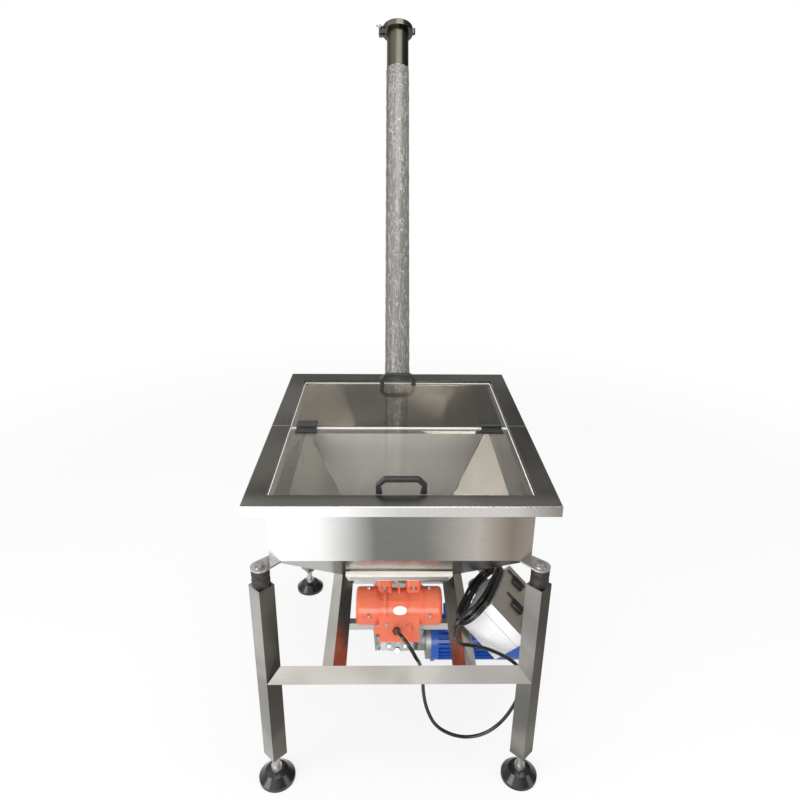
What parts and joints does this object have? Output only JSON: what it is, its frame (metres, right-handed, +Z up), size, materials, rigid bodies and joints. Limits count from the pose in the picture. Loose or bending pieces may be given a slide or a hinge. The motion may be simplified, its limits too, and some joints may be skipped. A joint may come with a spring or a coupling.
{
  "type": "screw feeder",
  "caption": "Inclined screw feeder on a square-tube frame with a lidded vibrating hopper, geared drive motor and control box.",
  "frame": {"origin": "centre of the feeder's footprint box on the floor, measured without the cord", "axes": "+Z up, +Y towards the discharge end where the tube rises, +X to the right seen from the hopper's front"},
  "size_m": [0.734, 1.5473, 1.8712],
  "materials": {
    "polished_steel": "polished stainless sheet",
    "brushed_steel": "brushed stainless",
    "zinc": "satin fastener",
    "machined_steel": "turned steel",
    "black_plastic": "moulded, slightly glossy",
    "foot_nylon": "moulded nylon",
    "black_rubber": "dull",
    "clear_sheet": "clear plastic sheet",
    "film": "thin protective film",
    "sleeve": "flexible sleeve",
    "cast_aluminium": "cast, satin",
    "bronze": "machined bronze",
    "blue_paint": "gloss blue paint",
    "orange_paint": "gloss orange-red paint",
    "white_plastic": "moulded, smooth",
    "cord_black": "smooth sheath"
  },
  "bodies": {
    "frame": {"legs": "brushed_steel", "foot_nuts": "zinc", "cross_rails": "brushed_steel", "side_beams": "brushed_steel", "front_cross_bar": "brushed_steel", "tube_saddle": "brushed_steel", "hanger_plates": "brushed_steel", "screw_tube": "polished_steel", "tube_film": "film", "feed_chute": "polished_steel", "discharge_spout": "polished_steel", "end_cap": "polished_steel", "clamp_ring": "polished_steel", "gearbox_housing": "cast_aluminium", "gearbox_bolts": "zinc", "drive_motor": "blue_paint", "fan_cover": "blue_paint", "rubber_mounts": "black_rubber", "control_box": "white_plastic", "case_hinges": "black_plastic", "box_gland": "black_plastic", "box_bracket": "brushed_steel", "cord_lead": "cord_black", "cord_coil": "cord_black"},
    "hopper": {"hopper_rim": "polished_steel", "hopper_skirt": "polished_steel", "hopper_cone": "polished_steel", "hopper_neck": "polished_steel", "lid_ledge": "polished_steel", "corner_tabs": "polished_steel", "mount_bolts": "zinc", "vibrator_plate": "brushed_steel", "vibrator_housing": "orange_paint", "vibrator_covers": "orange_paint", "vibrator_bolts": "zinc", "terminal_cover": "orange_paint", "cable_gland": "black_plastic", "outlet_sleeve": "sleeve"},
    "lid_front": {"lid_front": "clear_sheet", "handle_front": "black_plastic", "hinge_leaves_front": "black_plastic"},
    "lid_rear": {"lid_rear": "clear_sheet", "handle_rear": "black_plastic", "hinge_leaves_rear": "black_plastic", "hinge_pins": "zinc"},
    "vibrator_rotor": {"vibrator_shaft": "machined_steel", "eccentric_weights": "machined_steel"},
    "auger": {"auger": "brushed_steel", "worm_wheel": "bronze"},
    "motor_rotor": {"rotor_shaft": "machined_steel", "cooling_fan": "black_plastic"},
    "clamp_bolt": {"clamp_bolt": "polished_steel"},
    "wing_nut": {"wing_nut": "polished_steel"},
    "box_door": {"box_door": "white_plastic", "door_hinges": "black_plastic"},
    "foot_front_left": {"foot_front_left": "foot_nylon"},
    "foot_front_right": {"foot_front_right": "foot_nylon"},
    "foot_rear_left": {"foot_rear_left": "foot_nylon"},
    "foot_rear_right": {"foot_rear_right": "foot_nylon"}
  },
  "joints": [
    {"name": "hopper_bounce", "type": "slide", "parent": "frame", "child": "hopper", "axis": [0, 0, 1], "range_m": [-0.002, 0.002], "stiffness_N_per_m": 200000, "springref_m": 0.00197, "deforming": ["rubber_mounts"]},
    {"name": "lid_front_hinge", "type": "hinge", "parent": "hopper", "child": "lid_front", "pos_m": [-0.018, -0.35565, 0.7996], "axis": [-1, 0, 0], "range_deg": [0, 80]},
    {"name": "lid_rear_hinge", "type": "hinge", "parent": "hopper", "child": "lid_rear", "pos_m": [-0.018, -0.35565, 0.7996], "axis": [1, 0, 0], "range_deg": [0, 80]},
    {"name": "vibrator_spin", "type": "hinge", "parent": "hopper", "child": "vibrator_rotor", "pos_m": [-0.018, -0.56466, 0.396], "axis": [1, 0, 0], "continuous": true},
    {"name": "auger_spin", "type": "hinge", "parent": "frame", "child": "auger", "pos_m": [-0.018, -0.298, 0.068], "axis": [0, 0.5, 0.866], "continuous": true},
    {"name": "motor_spin", "type": "hinge", "parent": "frame", "child": "motor_rotor", "pos_m": [-0.018, -0.32831, 0.0855], "axis": [1, 0, 0], "continuous": true},
    {"name": "clamp_swing", "type": "hinge", "parent": "frame", "child": "clamp_bolt", "pos_m": [-0.08, 0.73401, 1.8295], "axis": [0, -0.5, -0.866], "range_deg": [0, 85]},
    {"name": "wing_nut_turn", "type": "hinge", "parent": "clamp_bolt", "child": "wing_nut", "pos_m": [-0.08, 0.73401, 1.8295], "axis": [0, -0.866, 0.5], "continuous": true},
    {"name": "box_door_hinge", "type": "hinge", "parent": "frame", "child": "box_door", "pos_m": [0.30781, -0.5801, 0.33966], "axis": [0.4035, 0.915, 0], "range_deg": [0, 100]},
    {"name": "foot_front_left_height", "type": "slide", "parent": "frame", "child": "foot_front_left", "axis": [0, 0, 1], "range_m": [-0.02, 0.02]},
    {"name": "foot_front_right_height", "type": "slide", "parent": "frame", "child": "foot_front_right", "axis": [0, 0, 1], "range_m": [-0.02, 0.02]},
    {"name": "foot_rear_left_height", "type": "slide", "parent": "frame", "child": "foot_rear_left", "axis": [0, 0, 1], "range_m": [-0.02, 0.02]},
    {"name": "foot_rear_right_height", "type": "slide", "parent": "frame", "child": "foot_rear_right", "axis": [0, 0, 1], "range_m": [-0.02, 0.02]}
  ],
  "couplings": [
    {"joint": "motor_spin", "follows": "auger_spin", "ratio": 20}
  ]
}
